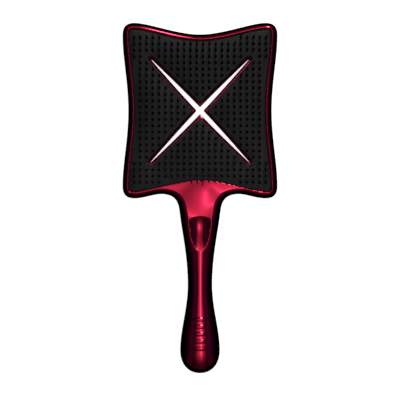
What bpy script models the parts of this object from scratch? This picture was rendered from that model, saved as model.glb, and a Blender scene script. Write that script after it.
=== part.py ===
"""A paddle hair brush with a pincushion-shaped head and an X-shaped air vent.

It lies on its back with its bristles up: the handle points to -Y, the head to +Y, and Z = 0 is the
flat land on the back of the head. Two plated shells, parted all round, hold a sprung bristle pad.
Everything is in metres.
"""

import math
from collections import namedtuple

import bmesh
import bpy
from mathutils import Vector

MM = 0.001
GAP = 0.3 * MM  # between pieces that touch

# Plan of the brush
TOTAL_LENGTH = 245 * MM
HEAD_LENGTH = 123.2 * MM  # lower corners to upper corners
HEAD_WIDTH = 108.8 * MM  # across the corners
SIDE_DRAW = 4.1 * MM  # how far each side draws in at its middle
TOP_DRAW = 8.2 * MM  # how far the top edge draws in at its middle
CORNER = 8.2 * MM  # size of the rounded corners
ARCH_RISE = 3.1 * MM  # of the lower edge between corner and neck
ARCH_REACH = 13.2 * MM  # from the neck's side out to the top of the arch
NECK_WIDTH = 28.6 * MM
NECK_DROP = 9.3 * MM  # of the neck's station below the lower corners
GRIP_WIDTH = 17 * MM  # narrowest place of the handle
END_WIDTH = 27.6 * MM  # widest place, near the handle's end
END_ROUND = 15.5 * MM  # length of the rounded end

# Heights
REST_Z = 0.0
BULB_LIFT = 0.1 * MM  # of the handle's end above the resting plane
BULB_THICKNESS = 21.9 * MM
GRIP_LIFT = 3 * MM
GRIP_THICKNESS = 15.6 * MM
TIP_DROP = 1.2 * MM  # of the dimple's tip below the grip's top
NECK_PARTING = 7.2 * MM  # height at which the two shells meet beside the neck
RIM_HEIGHT = 13 * MM
RIM_WIDTH = 4.9 * MM  # from the outline to the pad's opening
CREST_INSET = 4 * MM  # from the outline to the rim's highest line
LIP_DROP = 0.7 * MM  # of the opening's edge below the crest
WALL = 2 * MM
CREST_SHARE = 0.1  # of a flank's curve that the rim leaves out at its crest
LAND_SCALE = 0.8  # the back's flat land is the head's outline at this scale
CEILING_EASE = 4 * MM  # short of the opening, where the dish's underside meets the lip's

# Cross-sections: 2 is an ellipse, and less is leaner
RIM_FULLNESS = 2.0  # also at the neck
BULB_FULLNESS = 2.0
GRIP_FULLNESS = 1.9
BULB_CREST = 0.33  # half width of the flat-topped crest, as a share of the half width there
GRIP_CREST = 0.11

# Thumb dimple in the neck
DIMPLE_LENGTH = 22.5 * MM
DIMPLE_WIDTH = 15.4 * MM
DIMPLE_DEPTH = 3.2 * MM
DIMPLE_ABOVE = 5 * MM  # from the dimple's upper edge to the neck's station
DIMPLE_BOW = 2.2 * MM  # of the upper edge, up in its middle
DIMPLE_BOW_GROWTH = 4  # power with which the bow sets in towards the upper edge
DIMPLE_SWELL = 0.66  # power of the outline's widening from the tip: less is blunter
DIMPLE_LEAN = 1.6  # power that moves the deepest place up from the dimple's middle
BROW_RISE = 3.2 * MM  # of the crease beside the dimple's upper edge, above the rim
NECK_RISE = 1.3 * MM  # of the crease where the neck meets the head, above the rim
NECK_RISE_DROP = 2 * MM  # of that place below the lower corners
RIDGE_WIDTH = 2 * MM  # of the soft ridge below the dimple
NECK_INSET = 5.4 * MM  # from the outline to the crease at the neck's station
DISH_TOP = 12.7 * MM  # the opening's lower edge, above the lower corners
DISH_RISE = 2.6 * MM  # of the dish's middle beside the dimple, above the rim
RUN_IN = 8 * MM  # last stretch of the dish, which dips to the pad
RUN_IN_RISE = 1.9 * MM
OPENING_BOW = 3  # degrees that the opening's lower edge turns down at its corners
OPENING_REACH = 0.3  # of that edge's curve at both ends, as a share of its chord

# Air vent, centred on the head
VENT_SIDE = 19.9 * MM  # from the head's side to an arm's tip
VENT_END = 25.4 * MM  # from the head's corners' level to an arm's tip
VENT_HALF = 2 * MM  # half width of the slot at its centre
VENT_TIP_HALF = 0.45 * MM
VENT_TAPER = 1.6  # power of an arm's narrowing towards its tip
SLEEVE_WALL = 0.9 * MM
SLEEVE_FLANGE = 1.8 * MM
SLEEVE_FLANGE_THICKNESS = 1.2 * MM
SLEEVE_PROUD = 1.1 * MM  # above the pad's face

# Pad and bristles
PAD_FLANGE = 1.3 * MM  # how far the pad reaches under the lip
PAD_FLANGE_THICKNESS = 1.5 * MM
LIP_THICKNESS = 1.4 * MM
PAD_PLATEAU = 1 * MM
PAD_CLEARANCE = 0.4 * MM
VENT_CLEARANCE = 0.5 * MM
PAD_TRAVEL = 1.5 * MM
BRISTLE_PITCH = 4.375 * MM
BRISTLE_EDGE = 2 * MM  # least distance from a bristle's axis to the pad's edge
BRISTLE_ROOT = 1.5 * MM
BRISTLE_TIP = 0.9 * MM
LONG_BRISTLE = 14 * MM
SHORT_BRISTLE = 11 * MM
FOAM_SCALE = 0.93  # the foam's outline is the opening's at this scale
FOAM_CORNER = 9 * MM  # radius cut away round each screw

# Screws that pull the front shell down on the back shell
SCREW_INSET = 12.5 * MM  # from the head's corner, both ways
SCREW_HEAD = 4.4 * MM
SCREW_SHANK = 2.4 * MM
SCREW_HEAD_HEIGHT = 1 * MM
SCREW_SLOT = 0.6 * MM
SCREW_BITE = 3 * MM  # of the shank in the boss
LUG_THICKNESS = 1.4 * MM
LUG_EDGE = 0.9 * MM  # of material round a sunk screw head
BOSS_WALL = 1.9 * MM

# Mesh steps
HANDLE_STEPS = 5
CORNER_STEPS = 4
EDGE_STEPS = 5
NECK_STEPS = 5
NECK_SHARE = 0.55  # of the fillet, from which sections end on the dish's middle line
FLANK_STEPS = 5
DISH_STEPS = 3
DIMPLE_STEPS = 8
ROUND_STEPS = 16

END_Y = -TOTAL_LENGTH / 2
TOP_Y = TOTAL_LENGTH / 2
BASE_Y = TOP_Y - HEAD_LENGTH
BULB_Y = END_Y + END_ROUND
NECK_Y = BASE_Y - NECK_DROP
DIMPLE_EDGE_Y = NECK_Y - DIMPLE_ABOVE
DIMPLE_TIP_Y = DIMPLE_EDGE_Y - DIMPLE_LENGTH
GRIP_Y = BULB_Y + (DIMPLE_TIP_Y - BULB_Y) * 2 / 3
HEAD_MIDDLE = Vector((0, BASE_Y + HEAD_LENGTH / 2))
VENT_TIP = Vector((HEAD_WIDTH / 2 - VENT_SIDE, HEAD_LENGTH / 2 - VENT_END))  # from its centre
OPENING_Y = BASE_Y + DISH_TOP
LIP_Z = RIM_HEIGHT - LIP_DROP
UNDERCUT_Z = LIP_Z - LIP_THICKNESS
PAD_STEP_Z = UNDERCUT_Z - GAP
PAD_FACE = PAD_STEP_Z + PAD_PLATEAU
PAD_BASE_Z = PAD_STEP_Z - PAD_FLANGE_THICKNESS
LUG_TOP = PAD_BASE_Z - PAD_TRAVEL - GAP
LUG_BOTTOM = LUG_TOP - LUG_THICKNESS
HEAD_PARTING = LUG_BOTTOM - GAP  # height at which the two shells meet round the head

Anchor = namedtuple("Anchor", "x y heading arrive leave")
Section = namedtuple("Section", "outline inward crest edge on_middle")


def degrees(heading):
    """A unit vector along a heading in degrees."""
    angle = math.radians(heading)
    return Vector((math.cos(angle), math.sin(angle)))


def along(a, b, t):
    """Point and direction at t on the cubic that joins two anchors."""
    start, end = Vector((a.x, a.y)), Vector((b.x, b.y))
    chord = (end - start).length
    first = start + degrees(a.heading) * a.leave * chord
    second = end - degrees(b.heading) * b.arrive * chord
    s = 1 - t
    point = start * s**3 + first * 3 * s * s * t + second * 3 * s * t * t + end * t**3
    slope = (first - start) * s * s + (second - first) * 2 * s * t + (end - second) * t * t
    return point, slope.normalized()


def through(stations, y):
    """Smooth value at y of a curve through (y, value) stations, level at both ends."""
    if y <= stations[0][0]:
        return stations[0][1]
    for i in range(len(stations) - 1):
        (y0, v0), (y1, v1) = stations[i : i + 2]
        if y > y1:
            continue
        slope0 = (v1 - stations[i - 1][1]) / (y1 - stations[i - 1][0]) if i else 0
        last = i + 2 == len(stations)
        slope1 = 0 if last else (stations[i + 2][1] - v0) / (stations[i + 2][0] - y0)
        t, span = (y - y0) / (y1 - y0), y1 - y0
        return (
            v0 * (1 + 2 * t) * (1 - t) ** 2
            + slope0 * span * t * (1 - t) ** 2
            + v1 * t * t * (3 - 2 * t)
            + slope1 * span * t * t * (t - 1)
        )
    return stations[-1][1]


def half_outline():
    """Anchors up the right side, from the handle's end to the middle of the top edge.
    The last two numbers of each are the reach of its curves, as shares of their chords."""
    half, grip = HEAD_WIDTH / 2, GRIP_WIDTH / 2
    arch = NECK_WIDTH / 2 + ARCH_REACH
    return [
        Anchor(0, END_Y, 0, 0, 0.4),
        Anchor(END_WIDTH / 2, BULB_Y, 90, 0.44, 0.34),
        Anchor(grip, GRIP_Y, 90, 0.37, 0.39),
        Anchor(NECK_WIDTH / 2, NECK_Y, 84, 0.22, 0.475),
        Anchor(arch, BASE_Y + ARCH_RISE, 0, 0.485, 0.25),
        Anchor(half - CORNER, BASE_Y, 0, 0.35, 0.47),
        Anchor(half, BASE_Y + CORNER, 90, 0.47, 0.32),
        Anchor(half - SIDE_DRAW, BASE_Y + HEAD_LENGTH / 2, 90, 0.38, 0.37),
        Anchor(half, TOP_Y - CORNER, 90, 0.31, 0.47),
        Anchor(half - CORNER, TOP_Y, 180, 0.47, 0.22),
        Anchor(0, TOP_Y - TOP_DRAW, 180, 0.34, 0),
    ]


OUTLINE = half_outline()
END, BULB, GRIP, NECK, ARCH, LOW_CORNER, LOW_SIDE, WAIST, HIGH_SIDE, HIGH_CORNER, TOP = range(11)


def handle_side(y):
    """Point and direction of the outline at a height y between the bulb and the neck."""
    first, second = (BULB, GRIP) if y <= GRIP_Y else (GRIP, NECK)
    low, high = 0.0, 1.0
    for _ in range(40):
        middle = (low + high) / 2
        if along(OUTLINE[first], OUTLINE[second], middle)[0].y < y:
            low = middle
        else:
            high = middle
    return along(OUTLINE[first], OUTLINE[second], low)


def inward_of(direction):
    return Vector((-direction.y, direction.x))


def steps(start, end, count):
    """count values from start up to, but not including, end."""
    return [start + (end - start) * i / count for i in range(count)]


def crest_share(y):
    """Half width of the handle's soft ridge, as a share of the handle's half width."""
    ridge = RIDGE_WIDTH / 2 / handle_side(DIMPLE_TIP_Y)[0].x
    return through([(BULB_Y, BULB_CREST), (GRIP_Y, GRIP_CREST), (DIMPLE_TIP_Y, ridge)], y)


def dimple_half(y):
    """Half width of the teardrop dimple at y."""
    share = max(0.0, (y - DIMPLE_TIP_Y) / DIMPLE_LENGTH)
    swell = math.sin(math.pi / 2 * share**DIMPLE_SWELL)
    return RIDGE_WIDTH / 2 + (DIMPLE_WIDTH - RIDGE_WIDTH) / 2 * swell


def lower_opening():
    """Anchors of the opening's lower edge, from its middle out to the corner."""
    corner, direction = along(OUTLINE[LOW_CORNER], OUTLINE[LOW_SIDE], 0)
    point = corner + inward_of(direction) * RIM_WIDTH
    middle = Anchor(0, OPENING_Y, 0, 0, OPENING_REACH)
    return middle, Anchor(point.x, point.y, -OPENING_BOW, OPENING_REACH, 0)


def round_end_sections():
    """Sections that fan round the handle's end; their crest is a smaller copy of the end."""
    middle = Vector((0, BULB_Y))
    found = []
    for t in steps(0, 1, CORNER_STEPS + 1):
        point, direction = along(OUTLINE[END], OUTLINE[BULB], t)
        crest = middle + (point - middle) * BULB_CREST
        found.append(Section(point, inward_of(direction), crest, middle, True))
    return found


def grip_sections():
    """Level sections from the bulb up to the tip of the dimple."""
    heights = steps(BULB_Y, GRIP_Y, HANDLE_STEPS) + steps(GRIP_Y, DIMPLE_TIP_Y, HANDLE_STEPS - 1)
    found = []
    for y in heights:
        point, direction = handle_side(y)
        crest = Vector((point.x * crest_share(y), y))
        found.append(Section(point, inward_of(direction), crest, Vector((0, y)), True))
    return found


def dimple_sections():
    """Sections through the dimple; they lie closer at both ends, where its wall turns."""
    found = []
    for i in range(DIMPLE_STEPS + 1):
        share = (1 - math.cos(math.pi * i / DIMPLE_STEPS)) / 2
        y = DIMPLE_TIP_Y + DIMPLE_LENGTH * share
        point, direction = handle_side(y)
        edge = Vector((0, y + DIMPLE_BOW * share**DIMPLE_BOW_GROWTH))
        found.append(Section(point, inward_of(direction), Vector((dimple_half(y), y)), edge, True))
    return found


def neck_inset(i):
    """Distance from the outline to the crest at step i of the fillet between neck and head."""
    return through([(0, NECK_INSET), (NECK_STEPS, CREST_INSET)], i)


def neck_sections():
    """Sections from the neck's station round the fillet; the last ends on the opening's middle."""
    brow = DIMPLE_EDGE_Y + DIMPLE_BOW
    found = []
    for i in range(NECK_STEPS):
        point, direction = along(OUTLINE[NECK], OUTLINE[ARCH], NECK_SHARE * i / (NECK_STEPS - 1))
        crest = point + inward_of(direction) * neck_inset(i)
        edge = Vector((0, brow + (OPENING_Y - brow) * (i + 1) / NECK_STEPS))
        found.append(Section(point, inward_of(direction), crest, edge, True))
    return found


def head_sections():
    """Sections from the fillet round the head; they end on the edge of the pad's opening."""
    inner, corner = lower_opening()
    found = []
    stops = [(NECK, t) for t in steps(NECK_SHARE, 1, 3)]
    stops += [(ARCH, t) for t in steps(0, 1, EDGE_STEPS)]
    for i, (first, t) in enumerate(stops):
        point, direction = along(OUTLINE[first], OUTLINE[first + 1], t)
        inward = inward_of(direction)
        edge, _ = along(inner, corner, i / len(stops))
        found.append(Section(point, inward, point + inward * neck_inset(NECK_STEPS - 1 + i), edge, False))
    counts = {LOW_CORNER: CORNER_STEPS, HIGH_SIDE: CORNER_STEPS}
    for first in range(LOW_CORNER, TOP):
        for t in steps(0, 1, counts.get(first, EDGE_STEPS)) + ([1] if first + 1 == TOP else []):
            point, direction = along(OUTLINE[first], OUTLINE[first + 1], t)
            inward = inward_of(direction)
            crest = point + inward * CREST_INSET
            found.append(Section(point, inward, crest, point + inward * RIM_WIDTH, False))
    return found


def all_sections():
    handle = round_end_sections() + grip_sections() + dimple_sections()
    return handle + neck_sections() + head_sections()[1:]


def parting_height(y):
    middle = REST_Z + GRIP_LIFT + GRIP_THICKNESS / 2
    bulb = BULB_LIFT + BULB_THICKNESS / 2
    stations = [(BULB_Y, bulb), (GRIP_Y, middle), (NECK_Y, NECK_PARTING), (BASE_Y, HEAD_PARTING)]
    return through(stations, y)


def top_height(y):
    """Height of the handle's top line, from the bulb to the dimple's tip."""
    bulb, grip = BULB_LIFT + BULB_THICKNESS, GRIP_LIFT + GRIP_THICKNESS
    return through([(BULB_Y, bulb), (GRIP_Y, grip), (DIMPLE_TIP_Y, grip - TIP_DROP)], y)


def crease_height(y):
    """Height of the crest line from the dimple's tip, up the neck and on to the rim."""
    low = parting_height(DIMPLE_TIP_Y)
    ridge = bulge(crest_share(DIMPLE_TIP_Y), GRIP_FULLNESS)
    stations = [
        (DIMPLE_TIP_Y, low + (top_height(DIMPLE_TIP_Y) - low) * ridge),
        (DIMPLE_EDGE_Y, RIM_HEIGHT + BROW_RISE),
        (BASE_Y - NECK_RISE_DROP, RIM_HEIGHT + NECK_RISE),
        (BASE_Y + CORNER, RIM_HEIGHT),
    ]
    return through(stations, y)


def middle_height(y):
    """Height of the middle line of the dish and of the dimple in it."""
    tip, brow = DIMPLE_TIP_Y, DIMPLE_EDGE_Y + DIMPLE_BOW
    stations = [
        (tip, top_height(tip)),
        (brow, RIM_HEIGHT + DISH_RISE),
        (OPENING_Y - RUN_IN, LIP_Z + RUN_IN_RISE),
        (OPENING_Y, LIP_Z),
        (OPENING_Y + RUN_IN, LIP_Z - RUN_IN_RISE),  # beyond the edge: the slope runs on to it
    ]
    base = through(stations, y)
    share = (y - tip) / (brow - tip)
    if not 0 < share < 1:
        return base
    return base - DIMPLE_DEPTH * math.sin(math.pi * share**DIMPLE_LEAN)


def bulge(share, exponent):
    """Height share of a rounded flank: 0 at the outline, where share is 1, and 1 at share 0."""
    return max(0.0, 1 - share**exponent) ** (1 / exponent)


def fullness(y):
    """Exponent of the flanks: leaner along the grip, round at the bulb and on the head."""
    lean = GRIP_FULLNESS
    stations = [(BULB_Y, BULB_FULLNESS), (GRIP_Y, lean), (DIMPLE_TIP_Y, lean), (NECK_Y, RIM_FULLNESS)]
    return through(stations, y)


def in_handle(section):
    return section.crest.y < DIMPLE_TIP_Y - 0.01 * MM


def below_head(section):
    """Whether a section lies on the handle or at the neck's station."""
    return section.outline.y < NECK_Y + GAP


def front_profile(section):
    """Points of the outer face, from the parting line over the crest to the section's end."""
    low = parting_height(section.outline.y)
    ridge = fullness(section.crest.y)
    points = []
    high = top_height(section.edge.y)
    if in_handle(section):
        share = crest_share(section.crest.y)
        crest_z = low + (high - low) * bulge(share, ridge)
    else:
        share = CREST_SHARE
        crest_z = crease_height(section.crest.y)
    for i in range(FLANK_STEPS + 1):
        turn = math.pi / 2 * i / FLANK_STEPS
        at = 1 - (1 - share) * (1 - math.cos(turn))
        plan = section.outline.lerp(section.crest, (1 - at) / (1 - share))
        z = low + (crest_z - low) * bulge(at, ridge) / bulge(share, ridge)
        points.append(Vector((plan.x, plan.y, z)))
    for i in range(1, DISH_STEPS + 1):
        u = i / DISH_STEPS
        ease = 1 - (1 - u) ** 2
        plan = section.crest.lerp(section.edge, u)
        if in_handle(section):
            z = low + (high - low) * bulge(share * (1 - u), ridge)
        elif section.on_middle:
            plan.y = section.crest.y + (section.edge.y - section.crest.y) * ease  # square to X = 0
            z = crest_z + (middle_height(section.edge.y) - crest_z) * ease
        else:
            z = crest_z + (LIP_Z - crest_z) * ease
        points.append(Vector((plan.x, plan.y, z)))
    return points


def front_return(section):
    """Points of the inner face, from under the section's end back out to the parting line."""
    low = parting_height(section.outline.y)
    count = FLANK_STEPS
    if not section.on_middle:
        outward = -edge_inward(section)
        back = section.edge + outward * (PAD_FLANGE + GAP)
        lip = [Vector((section.edge.x, section.edge.y, UNDERCUT_Z))]
        rise = [UNDERCUT_Z + (low - UNDERCUT_Z) * i / (count - 1) for i in range(count)]
        return lip + [Vector((back.x, back.y, z)) for z in rise]
    side = section.outline + section.inward * WALL
    end = section.edge
    outer_end = top_height(end.y) if in_handle(section) else middle_height(end.y)
    near_opening = through([(DIMPLE_EDGE_Y, 0), (OPENING_Y - CEILING_EASE, 1)], end.y)
    ceiling = outer_end - WALL + near_opening * (UNDERCUT_Z - (outer_end - WALL))
    points = []
    for i in range(count + 1):
        turn = math.pi / 2 * (1 - i / count)
        plan = side.lerp(end, 1 - math.cos(turn))
        points.append(Vector((plan.x, plan.y, low + (ceiling - low) * math.sin(turn))))
    return points


def edge_inward(section):
    """Direction from the opening's edge into the opening."""
    if section.edge.y <= OPENING_Y and section.outline.x < HEAD_WIDTH / 2 - CORNER:
        return Vector((0, 1))
    return section.inward


def back_profile(section, outer):
    """Points of the back shell's outer or inner face, from the parting line to the land or middle."""
    y = section.outline.y
    wall = 0 if outer else WALL
    high, base = parting_height(y) - GAP, bottom_height(y) + wall
    side = section.outline + section.inward * wall
    ridge = section.crest if in_handle(section) else Vector((RIDGE_WIDTH / 2, y))
    land = HEAD_MIDDLE + (section.outline - HEAD_MIDDLE) * LAND_SCALE
    flatness = through([(GRIP_Y, 0), (NECK_Y, 1)], y)
    foot = ridge.lerp(land, flatness)
    share = (1 - flatness) * crest_share(y)
    points = []
    for i in range(FLANK_STEPS + 1):
        at = 1 - (1 - share) * (1 - math.cos(math.pi / 2 * i / FLANK_STEPS))
        plan = side.lerp(foot, (1 - at) / (1 - share))
        points.append(Vector((plan.x, plan.y, high - (high - base) * bulge(at, 2))))
    if below_head(section):
        for u in (0.5, 1):
            plan = foot.lerp(Vector((0, max(y, BULB_Y))), u)
            z = high - (high - base) * bulge(share * (1 - u), 2)
            points.append(Vector((plan.x, plan.y, z)))
    return points


def bottom_height(y):
    stations = [(BULB_Y, BULB_LIFT), (GRIP_Y, GRIP_LIFT), (NECK_Y, REST_Z)]
    return through(stations, y)


def skin(bm, rows):
    """Quads between neighbouring rows of vertices."""
    for first, second in zip(rows, rows[1:]):
        for i in range(len(first) - 1):
            corners = [first[i], first[i + 1], second[i + 1], second[i]]
            distinct = list(dict.fromkeys(corners))
            if len(distinct) > 2:
                bm.faces.new(distinct)


class Points:
    """Makes one vertex for each place, so that faces meeting there share it."""

    def __init__(self, bm):
        self.bm = bm
        self.made = {}

    def __call__(self, point):
        key = tuple(round(c / (0.001 * MM)) for c in point)
        if key not in self.made:
            self.made[key] = self.bm.verts.new(point)
        return self.made[key]

    def row(self, points):
        return [self(p) for p in points]


def mirrored_object(name, bm, material):
    """Mirrors a half mesh in the plane X = 0, welds it there and makes the object."""
    bmesh.ops.mirror(bm, geom=bm.verts[:] + bm.edges[:] + bm.faces[:], axis="X", merge_dist=0.01 * MM)
    bmesh.ops.recalc_face_normals(bm, faces=bm.faces[:])
    seam = [e for e in bm.edges if all(abs(v.co.x) < 0.01 * MM for v in e.verts)]
    flat = [e for e in seam if e.calc_face_angle(1) < 1e-4 and len(e.link_faces[0].verts) > 4]
    bmesh.ops.dissolve_edges(bm, edges=flat, use_verts=False)
    return finished(name, bm, material)


def finished(name, bm, material, hidden=False):
    mesh = bpy.data.meshes.new(name)
    bm.to_mesh(mesh)
    bm.free()
    mesh.shade_smooth()
    mesh.set_sharp_from_angle(angle=math.radians(35))
    obj = bpy.data.objects.new(name, mesh)
    bpy.context.scene.collection.objects.link(obj)
    if material:
        mesh.materials.append(material)
    if hidden:
        obj.hide_render = True
        obj.display_type = "WIRE"
    return obj


def plastic(name, colour, roughness, metallic=0.0):
    material = bpy.data.materials.new(name)
    material.use_nodes = True
    shader = material.node_tree.nodes["Principled BSDF"]
    shader.inputs["Base Color"].default_value = (*colour, 1)
    shader.inputs["Roughness"].default_value = roughness
    shader.inputs["Metallic"].default_value = metallic
    return material


def prism(name, outline, bottom, top, material=None, hidden=False):
    """A closed prism on a plan outline."""
    bm = bmesh.new()
    floor = [bm.verts.new((p.x, p.y, bottom)) for p in outline]
    lid = [bm.verts.new((p.x, p.y, top)) for p in outline]
    bm.faces.new(floor)
    bm.faces.new(lid)
    for i in range(len(outline)):
        j = (i + 1) % len(outline)
        bm.faces.new((floor[i], floor[j], lid[j], lid[i]))
    bmesh.ops.recalc_face_normals(bm, faces=bm.faces[:])
    return finished(name, bm, material, hidden)


def cylinder(name, x, y, bottom, top, diameter, top_diameter=None):
    """A hidden helper: a cylinder, or a cone frustum, along Z."""
    bm = bmesh.new()
    upper = diameter if top_diameter is None else top_diameter
    bmesh.ops.create_cone(
        bm, cap_ends=True, segments=ROUND_STEPS, radius1=diameter / 2, radius2=upper / 2, depth=top - bottom
    )
    bmesh.ops.translate(bm, verts=bm.verts, vec=(x, y, (bottom + top) / 2))
    return finished(name, bm, None, hidden=True)


def combine(obj, other, operation):
    modifier = obj.modifiers.new(other.name, "BOOLEAN")
    modifier.operation = operation
    modifier.object = other
    modifier.solver = "EXACT"


def mirrored_loop(half):
    """A closed loop from a half that starts and ends on X = 0."""
    return half + [Vector((-p.x, p.y)) for p in reversed(half[1:-1])]


def opening_loop(outset):
    """The edge of the pad's opening, moved outwards."""
    sections = [s for s in all_sections() if not s.on_middle]
    half = [Vector((0, OPENING_Y - outset))]
    half += [s.edge - edge_inward(s) * outset for s in sections]
    half[-1].x = 0
    return mirrored_loop(half)


def vent_loop(offset):
    """The X of the air vent, its sides moved outwards: four tapering arms with round tips."""
    reach = VENT_TIP.length - VENT_TIP_HALF

    def half(r):
        return VENT_HALF - (VENT_HALF - VENT_TIP_HALF) * (r / reach) ** VENT_TAPER + offset

    loop = []
    slant = math.atan2(VENT_TIP.y, VENT_TIP.x)
    arms = [slant, math.pi - slant, math.pi + slant, -slant]
    stations = [reach * s for s in (0.2, 0.4, 0.6, 0.8, 1)]
    for i, angle in enumerate(arms):
        way = Vector((math.cos(angle), math.sin(angle)))
        side = Vector((-way.y, way.x))
        loop += [HEAD_MIDDLE + way * r - side * half(r) for r in stations]
        for turn in (-45, 0, 45):
            a = math.radians(turn)
            loop.append(HEAD_MIDDLE + way * reach + (way * math.cos(a) + side * math.sin(a)) * half(reach))
        loop += [HEAD_MIDDLE + way * r + side * half(r) for r in reversed(stations)]
        between = (arms[(i + 1) % 4] - angle) % (2 * math.pi) / 2
        bisector = angle + between
        crotch = (VENT_HALF + offset) / math.sin(between)
        loop.append(HEAD_MIDDLE + Vector((math.cos(bisector), math.sin(bisector))) * crotch)
    return loop


def screw_places():
    x = HEAD_WIDTH / 2 - SCREW_INSET
    return [(sx * x, y) for y in (BASE_Y + SCREW_INSET, TOP_Y - SCREW_INSET) for sx in (-1, 1)]


def front_shell(material):
    """The plated front: rim, neck dish, thumb dimple and the front half of the handle."""
    bm = bmesh.new()
    point = Points(bm)
    sections = all_sections()
    outer = [point.row(front_profile(s)) for s in sections]
    inner = [point.row(front_return(s)) for s in sections]
    skin(bm, outer)
    skin(bm, inner)
    skin(bm, [[i[-1], o[0]] for i, o in zip(inner, outer)])
    first = max(i for i, s in enumerate(sections) if s.on_middle)
    skin(bm, [[o[-1], i[0]] for i, o in zip(inner[first:], outer[first:])])
    shell = mirrored_object("front_shell", bm, material)
    for n, (x, y) in enumerate(screw_places()):
        lug = lug_at(f"lug_{n}", x, y)
        combine(shell, lug, "UNION")
        hole = cylinder(f"lug_hole_{n}", x, y, LUG_BOTTOM - MM, LUG_TOP + MM, SCREW_SHANK + 2 * GAP)
        combine(shell, hole, "DIFFERENCE")
        sink = cylinder(
            f"lug_sink_{n}", x, y, LUG_TOP - SCREW_HEAD_HEIGHT - GAP, LUG_TOP + MM, SCREW_HEAD + 2 * GAP
        )
        combine(shell, sink, "DIFFERENCE")
    return shell


def lug_at(name, x, y):
    """A hidden helper: the lug that reaches from the rim's corner to a screw."""
    radius = SCREW_HEAD / 2 + GAP + LUG_EDGE
    corner = Vector((math.copysign(1, x), math.copysign(1, y - HEAD_MIDDLE.y))).normalized()
    across = Vector((-corner.y, corner.x))
    reach = SCREW_INSET * math.sqrt(2) - CORNER * (math.sqrt(2) - 1) - WALL
    centre = Vector((x, y))
    loop = [centre + corner * reach + across * radius, centre + across * radius]
    for i in range(1, ROUND_STEPS // 2):
        a = math.pi * i / (ROUND_STEPS // 2)
        loop.append(centre + across * radius * math.cos(a) - corner * radius * math.sin(a))
    loop += [centre - across * radius, centre + corner * reach - across * radius]
    return prism(name, loop, LUG_BOTTOM, LUG_TOP, hidden=True)


def back_shell(material):
    """The plated back: a shallow tray with a flat land, and the back half of the handle."""
    bm = bmesh.new()
    point = Points(bm)
    sections = all_sections()
    first_wide = max(i for i, s in enumerate(sections) if below_head(s))
    rims = []
    for is_outer in (True, False):
        rows = [point.row(back_profile(s, is_outer)) for s in sections]
        narrow, wide = rows[: first_wide + 1], [r[: FLANK_STEPS + 1] for r in rows[first_wide:]]
        skin(bm, narrow)
        skin(bm, wide)
        land = [narrow[-1][-1], narrow[-1][-2]] + [r[-1] for r in wide]
        bm.faces.new(land)
        rims.append([r[0] for r in rows])
    skin(bm, [list(pair) for pair in zip(*rims)])
    shell = mirrored_object("back_shell", bm, material)
    for n, (x, y) in enumerate(screw_places()):
        boss = cylinder(
            f"boss_{n}", x, y, REST_Z + WALL / 2, HEAD_PARTING, SCREW_SHANK + 2 * GAP + 2 * BOSS_WALL
        )
        combine(shell, boss, "UNION")
        pilot = cylinder(
            f"pilot_{n}", x, y, HEAD_PARTING - SCREW_BITE - GAP, HEAD_PARTING + MM, SCREW_SHANK + 2 * GAP
        )
        combine(shell, pilot, "DIFFERENCE")
    vent = prism("back_vent", vent_loop(SLEEVE_WALL + GAP), REST_Z - MM, REST_Z + WALL + MM, hidden=True)
    combine(shell, vent, "DIFFERENCE")
    return shell


def vent_sleeve(material):
    """The plated X that lines the vent; its flange is held under the foam."""
    top = PAD_FACE + SLEEVE_PROUD
    base = REST_Z + WALL + GAP
    sleeve = prism("vent_sleeve", vent_loop(SLEEVE_WALL), REST_Z + GAP, top, material)
    flange = prism(
        "sleeve_flange",
        vent_loop(SLEEVE_WALL + SLEEVE_FLANGE),
        base,
        base + SLEEVE_FLANGE_THICKNESS,
        hidden=True,
    )
    combine(sleeve, flange, "UNION")
    combine(sleeve, prism("sleeve_bore", vent_loop(0), REST_Z - MM, top + MM, hidden=True), "DIFFERENCE")
    return sleeve


def foam_loop():
    """The foam's outline: the opening's, drawn in, and nowhere past the back shell's flat land."""
    half = [HEAD_MIDDLE + (Vector((0, OPENING_Y)) - HEAD_MIDDLE) * FOAM_SCALE]
    for section in all_sections():
        if not section.on_middle:
            edge = (section.edge - HEAD_MIDDLE) * FOAM_SCALE
            land = (section.outline - HEAD_MIDDLE) * LAND_SCALE
            half.append(HEAD_MIDDLE + min(edge, land, key=lambda p: p.length))
    half[-1].x = 0
    return mirrored_loop(half)


def foam_cushion(material):
    """The soft sheet behind the pad, cut out round the vent and the screws."""
    foam = prism("foam_cushion", foam_loop(), REST_Z + WALL + GAP, PAD_BASE_Z - GAP, material)
    vent = vent_loop(SLEEVE_WALL + SLEEVE_FLANGE + VENT_CLEARANCE)
    combine(foam, prism("foam_vent", vent, REST_Z, PAD_FACE, hidden=True), "DIFFERENCE")
    for n, (x, y) in enumerate(screw_places()):
        out = Vector((math.copysign(1, x), math.copysign(1, y - HEAD_MIDDLE.y))) * FOAM_CORNER / 4
        cut = cylinder(f"foam_corner_{n}", x + out.x, y + out.y, REST_Z, PAD_FACE, 2 * FOAM_CORNER)
        combine(foam, cut, "DIFFERENCE")
    return foam


def distance_to_loop(point, loop):
    """Distance from a point to a closed loop, negative inside it."""
    nearest, inside = math.inf, False
    for i, a in enumerate(loop):
        b = loop[(i + 1) % len(loop)]
        t = max(0.0, min(1.0, (point - a).dot(b - a) / (b - a).length_squared))
        nearest = min(nearest, (point - a.lerp(b, t)).length)
        if (a.y > point.y) != (b.y > point.y):
            crossing = a.x + (point.y - a.y) / (b.y - a.y) * (b.x - a.x)
            inside = inside != (point.x < crossing)
    return -nearest if inside else nearest


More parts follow.
